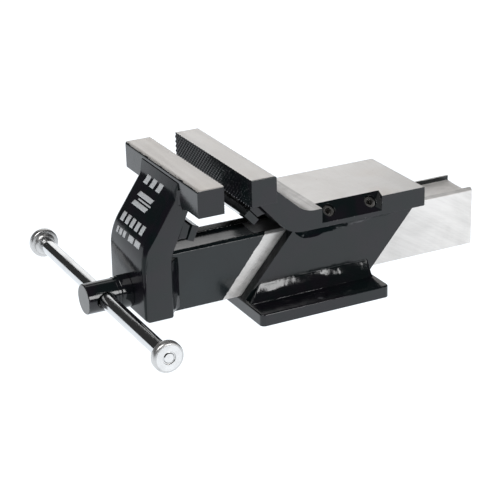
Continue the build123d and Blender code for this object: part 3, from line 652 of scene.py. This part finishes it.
def arm_piece():
    """The arm, with long edges whose rounding varies, bored for the bush."""
    outline = arm_outline()
    count = len(outline)
    steps = 7
    bm = bmesh.new()
    grid = []
    for index, point in enumerate(outline):
        before = (point - outline[index - 1]).normalized()
        after = (outline[(index + 1) % count] - point).normalized()
        along = (before + after).normalized()
        inward = Vector((-along.y, along.x)) / max(0.5, along.dot(after))
        radius = arm_edge_radius(point.y, inward.x > 0.35)
        row = []
        for sign in (-1, 1):
            for step in range(steps):
                share = step / (steps - 1)
                angle = math.pi / 2 * (1 - share if sign < 0 else share)
                place = point + inward * radius * (1 - math.cos(angle))
                x = sign * (ARM_HIGH.x - radius * (1 - math.sin(angle)))
                row.append(bm.verts.new((x, place.x, place.y)))
        grid.append(row)
    for index in range(count):
        first, second = grid[index], grid[(index + 1) % count]
        for step in range(2 * steps - 1):
            bm.faces.new((first[step], first[step + 1], second[step + 1], second[step]))
    bm.faces.new([row[0] for row in grid])
    bm.faces.new([row[-1] for row in reversed(grid)])
    bmesh.ops.recalc_face_normals(bm, faces=bm.faces)
    for face in bm.faces:
        # Forward-facing faces take the duller enamel copy: painted shade on the arm's front.
        face.material_index = 1 if face.normal.y < -0.5 else 0
    materials = [PAINT, PAINT_FRONT_SHADED]
    obj = put("front_arm_piece", "carriage", bm, materials, ("front_arm",))

    drill = bmesh.new()
    bore = Matrix.Translation((0, (ARM_LOW.y + ARM_HIGH.y) / 2, AXIS_Z)) @ Matrix.Rotation(
        math.pi / 2, 4, "X"
    )
    bmesh.ops.create_cone(
        drill, cap_ends=True, segments=96, radius1=BUSH_BORE, radius2=BUSH_BORE, depth=0.1, matrix=bore
    )
    cutter_mesh = bpy.data.meshes.new("bore")
    drill.to_mesh(cutter_mesh)
    drill.free()
    cutter = bpy.data.objects.new("bore", cutter_mesh)
    bpy.context.scene.collection.objects.link(cutter)
    cut = obj.modifiers.new("bore", "BOOLEAN")
    cut.operation = "DIFFERENCE"
    cut.object = cutter
    graph = bpy.context.evaluated_depsgraph_get()
    mesh = bpy.data.meshes.new_from_object(obj.evaluated_get(graph))
    obj.modifiers.clear()
    obj.data = mesh
    bpy.data.objects.remove(cutter)
    mesh.set_sharp_from_angle(angle=math.radians(32))
    return obj


def front_surface(obj):
    """A function that finds the arm's front surface at (x, z): (point, normal)."""
    graph = bpy.context.evaluated_depsgraph_get()
    bm = bmesh.new()
    bm.from_mesh(obj.evaluated_get(graph).data)
    tree = BVHTree.FromBMesh(bm)
    bm.free()

    def find(x, z):
        hit = tree.ray_cast(Vector((x, ARM_LOW.y - 0.02, z)), Vector((0, 1, 0)))
        return hit[0], hit[1]

    return find


def print_marks(surface):
    """Pale generic marks on the arm: plain bars, a panel and a scale, with no lettering."""
    bm = bmesh.new()
    lift = 0.06 * MM

    def patch(corners, across=8, up=5):
        """A patch between four (x, z) corners, in millimetres, laid on the arm."""
        grid = []
        for i in range(across + 1):
            column = []
            for k in range(up + 1):
                s, t = i / across, k / up
                low = [corners[0][n] * (1 - s) + corners[1][n] * s for n in (0, 1)]
                high = [corners[3][n] * (1 - s) + corners[2][n] * s for n in (0, 1)]
                x, z = (low[n] * (1 - t) + high[n] * t for n in (0, 1))
                place, normal = surface(x * MM, z * MM)
                column.append(bm.verts.new(place + normal * lift))
            grid.append(column)
        for i in range(across):
            for k in range(up):
                bm.faces.new((grid[i][k], grid[i + 1][k], grid[i + 1][k + 1], grid[i][k + 1]))

    def bar(x_from, x_to, z_from, z_to, slant=0.0):
        patch(((x_from, z_from), (x_to, z_from), (x_to + slant, z_to), (x_from + slant, z_to)))

    for x in (-13.5, -5.0, 3.5):
        bar(x, x + 5.2, 80.0, 84.8, 1.4)
    bar(-12.4, 6.4, 73.6, 76.0, 1.8)
    bar(-13.6, 5.2, 68.6, 71.0, 1.8)
    bar(-8.6, 8.2, 71.9, 72.7)
    for index in range(5):
        x = -16.6 + 6.7 * index
        bar(x, x + 4.2, 58.9, 63.7, 0.6)
    for start, wide in ((-16.6, 2.4), (-12.6, 3.6), (-7.4, 3.6), (0.2, 7.0), (9.2, 7.0)):
        bar(start, start + wide, 51.9, 55.6, 0.4)
    obj = put("arm_print", "carriage", bm, [INK], ())
    thick = obj.modifiers.new("ink", "SOLIDIFY")
    thick.thickness = 0.04 * MM
    return obj


def carriage_pieces():
    slide = carry("slide_channel", "carriage", [slide_material()], 0.0003)
    slide.modifiers["edges"].segments = 2
    arm = arm_piece()
    bpy.context.view_layer.update()
    print_marks(front_surface(arm))
    jaw("front_jaw", "carriage", 1)
    carry("front_pipe_jaw", "carriage", [PAINT], 0.0002)
    weld("front_pipe_weld", "carriage", amount=0.7, seed=6.0)
    weld("slide_welds", "carriage", seed=7.0)
    weld("front_jaw_welds", "carriage", amount=0.25, seed=8.0, voxel=0.3)
    carry("spindle_bush", "carriage", [PAINT], 0.0003)


# ---- Spindle and handle --------------------------------------------------------------
THREAD_LEAD = 4.0 * MM
THREAD_DEPTH = 2.0 * MM
THREAD_RADIUS = 6.9 * MM
THREAD_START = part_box("retaining_collar")[1].y
TIP_CHAMFER = 2.0 * MM


def head_piece():
    """The spindle's head and journal: enamelled, with a bare faced front."""
    bm = node_bmesh("spindle_screw")
    bmesh.ops.bisect_plane(
        bm,
        geom=bm.verts[:] + bm.edges[:] + bm.faces[:],
        plane_co=(0, THREAD_START - 0.001, 0),
        plane_no=(0, 1, 0),
        clear_outer=True,
    )
    bmesh.ops.holes_fill(bm, edges=[edge for edge in bm.edges if edge.is_boundary])
    for face in bm.faces:
        in_front = face.calc_center_median().y < HEAD_LOW.y + 0.0002
        face.material_index = 1 if in_front and face.normal.y < -0.5 else 0
    obj = put(
        "spindle_head", "spindle", bm, [PAINT, HEAD_FACE], ("spindle_screw",)
    )
    return soften(obj, 0.0003)


def thread_piece():
    """The spindle's thread: a trapezoidal helix on a grid that follows its own lead."""
    columns = 64
    outer = THREAD_RADIUS
    profile = ((0.0, 0.0), (0.34, 0.0), (0.5, 1.0), (0.84, 1.0))

    def depth_at(phase):
        """How deep the groove is at a phase of the lead, 0 on a crest and 1 in the root."""
        phase %= 1.0
        if phase < 0.34:
            return 0.0
        if phase < 0.5:
            return (phase - 0.34) / 0.16
        if phase < 0.84:
            return 1.0
        return (1.0 - phase) / 0.16

    first, last = THREAD_START - 0.001, HEAD_HIGH.y
    turns = int((last - first) / THREAD_LEAD) + 3
    bm = bmesh.new()
    rows = []
    for turn in range(-1, turns):
        for phase, depth in profile:
            row = []
            for column in range(columns + 1):
                share = column / columns
                along = min(last, max(first, first + (turn + phase + share) * THREAD_LEAD))
                local = (along - first) / THREAD_LEAD - share
                deep = depth_at(local)
                radius = min(outer - THREAD_DEPTH * deep, outer - TIP_CHAMFER + (last - along))
                angle = 2 * math.pi * share
                row.append(
                    bm.verts.new(
                        (radius * math.cos(angle), along, AXIS_Z - radius * math.sin(angle))
                    )
                )
            rows.append(row)
    for low_row, high_row in zip(rows, rows[1:]):
        for column in range(columns):
            bm.faces.new(
                (low_row[column], low_row[column + 1], high_row[column + 1], high_row[column])
            )
    bmesh.ops.remove_doubles(bm, verts=bm.verts, dist=1e-6)
    flat = [face for face in bm.faces if face.calc_area() < 1e-13]
    bmesh.ops.delete(bm, geom=flat, context="FACES_ONLY")
    bmesh.ops.holes_fill(bm, edges=[edge for edge in bm.edges if edge.is_boundary])
    bmesh.ops.recalc_face_normals(bm, faces=bm.faces)
    obj = put("spindle_thread", "spindle", bm, [THREAD_STEEL], ())
    obj.data.set_sharp_from_angle(angle=math.radians(30))
    return obj


CAP_LENGTH = 7.5
SPIGOT_RADIUS = 3.1
CAP_OUTLINE = (
    (SPIGOT_RADIUS, 0.0),
    (5.0, 0.0),
    (5.7, 0.14),
    (6.3, 0.55),
    (6.62, 1.1),
    (6.7, 1.7),
    (6.7, 2.4),
    (7.9, 2.4),
    (8.5, 2.6),
    (8.8, 3.0),
    (8.9, 3.5),
    (8.9, 6.1),
    (8.8, 6.6),
    (8.5, 7.0),
    (8.0, 7.3),
    (7.4, 7.5),
    (SPIGOT_RADIUS + 0.75, 7.5),
    (SPIGOT_RADIUS + 0.6, 7.35),
    (SPIGOT_RADIUS + 0.6, 6.9),
    (SPIGOT_RADIUS, 6.9),
)


def lathe(name, outline, face_from, material, replaced):
    """A turned piece about the bar's axis, from (radius, x) points in millimetres."""
    low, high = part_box("handle_bar")
    middle = Vector((0, (low.y + high.y) / 2, (low.z + high.z) / 2))
    around = 96
    bm = bmesh.new()
    rings = []
    for radius, x in outline:
        ring = []
        for index in range(around):
            angle = 2 * math.pi * index / around
            arm = Vector((x, radius * math.cos(angle), radius * math.sin(angle))) * MM
            ring.append(bm.verts.new(middle + arm))
        rings.append(ring)
    for index, (first, second) in enumerate(zip(rings, rings[1:] + rings[:1])):
        flat = abs(outline[index][1] - outline[(index + 1) % len(outline)][1]) < 0.01
        for step in range(around):
            after = (step + 1) % around
            face = bm.faces.new((first[step], first[after], second[after], second[step]))
            face.material_index = 1 if flat and abs(outline[index][1]) > face_from else 0
    bmesh.ops.remove_doubles(bm, verts=bm.verts, dist=1e-7)
    bmesh.ops.recalc_face_normals(bm, faces=bm.faces)
    obj = put(name, "handle", bm, [material, CAP_FACE], (replaced,))
    obj.data.set_sharp_from_angle(angle=math.radians(38))
    return obj


def bar_pieces():
    """The bar with its riveted spigots, and the two caps."""
    low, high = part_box("handle_bar")
    start, end = low.x / MM, high.x / MM
    bar_radius = (high.z - low.z) / 2 / MM
    rounding = 0.5
    half = (
        (0.0, start),
        (SPIGOT_RADIUS - rounding, start),
        (SPIGOT_RADIUS, start + rounding),
        (SPIGOT_RADIUS, start + CAP_LENGTH),
        (bar_radius, start + CAP_LENGTH),
    )
    other = tuple((radius, start + end - x) for radius, x in reversed(half))
    lathe("handle_bar_piece", half + other, end - 1.0, CHROME, "handle_bar")
    right = tuple((radius, end - CAP_LENGTH + x) for radius, x in CAP_OUTLINE)
    left = tuple((radius, start + CAP_LENGTH - x) for radius, x in CAP_OUTLINE)
    lathe("handle_cap_right_piece", right, end - 1.0, CAP_STEEL, "handle_cap_right")
    lathe("handle_cap_left_piece", left, -start - 1.0, CAP_STEEL, "handle_cap_left")


def spindle_pieces():
    head_piece()
    thread_piece()
    bar_pieces()


# ---- Floor, lights, camera -----------------------------------------------------------
def studio():
    bpy.ops.mesh.primitive_plane_add(size=12, location=(0, 0, -0.0002))
    floor = bpy.context.object
    floor.name = "floor"
    m = Shader("floor_pale", Roughness=0.95, Specular_IOR_Level=0.0, Emission_Strength=1.0)
    shade = m.blend(m.noise(3, 2), grey(0.14), grey(0.16))
    floor.data.materials.append(m.out(Base_Color=shade, Emission_Color=(1.04, 1.09, 1.14, 1)))

    world = bpy.data.worlds.new("studio")
    bpy.context.scene.world = world
    world.use_nodes = True
    tree = world.node_tree
    rays = tree.nodes.new("ShaderNodeLightPath")
    mix = tree.nodes.new("ShaderNodeMix")
    mix.data_type = "RGBA"
    tree.links.new(rays.outputs["Is Camera Ray"], mix.inputs[0])
    mix.inputs[6].default_value = grey(0.04)
    mix.inputs[7].default_value = grey(1.0)
    tree.links.new(mix.outputs[2], tree.nodes["Background"].inputs[0])

    soft_box("panel_left", 163, 17, 36, 28, 1.25)
    soft_box("panel_high", 148, 46, 16, 24, 0.8)
    soft_box("box_right", 20, 24, 14, 20, 10)
    soft_box("fill_front", -75, 60, 40, 26, 6)


def soft_box(name, azimuth, elevation, width, height, radiance, distance=1.8):
    """A soft box at a bearing, with its width and height as angles seen from the vise."""
    bearing, rise = math.radians(azimuth), math.radians(elevation)
    toward = Vector(
        (math.cos(rise) * math.cos(bearing), math.cos(rise) * math.sin(bearing), math.sin(rise))
    )
    light = bpy.data.lights.new(name, "AREA")
    light.shape = "RECTANGLE"
    light.size = 2 * distance * math.tan(math.radians(width / 2))
    light.size_y = 2 * distance * math.tan(math.radians(height / 2))
    light.energy = radiance * math.pi * light.size * light.size_y
    lamp = bpy.data.objects.new(name, light)
    lamp.location = toward * distance
    lamp.rotation_euler = toward.to_track_quat("Z", "Y").to_euler()
    lamp.visible_camera = False
    bpy.context.scene.collection.objects.link(lamp)


def camera():
    """The photograph's view: 63 degrees round from the front, 22.5 degrees up."""
    azimuth, elevation, roll = (math.radians(a) for a in (63.3, 22.51, -1.48))
    right = Vector((math.cos(azimuth), math.sin(azimuth), 0))
    back = Vector(
        (
            math.sin(azimuth) * math.cos(elevation),
            -math.cos(azimuth) * math.cos(elevation),
            math.sin(elevation),
        )
    )
    up = back.cross(right)
    turned_right = right * math.cos(roll) + up * math.sin(roll)
    turned_up = up * math.cos(roll) - right * math.sin(roll)
    data = bpy.data.cameras.new("view")
    data.sensor_width = 36
    data.lens = 117.45
    data.clip_start = 0.05
    obj = bpy.data.objects.new("view", data)
    turn = Matrix((turned_right, turned_up, back)).transposed().to_4x4()
    obj.matrix_world = Matrix.Translation((0.80509, -0.43244, 0.40285)) @ turn
    bpy.context.scene.collection.objects.link(obj)
    bpy.context.scene.camera = obj


camera()
studio()
bpy.context.scene.view_settings.view_transform = "Standard"
hidden_pieces()
fixed_pieces()
carriage_pieces()
spindle_pieces()
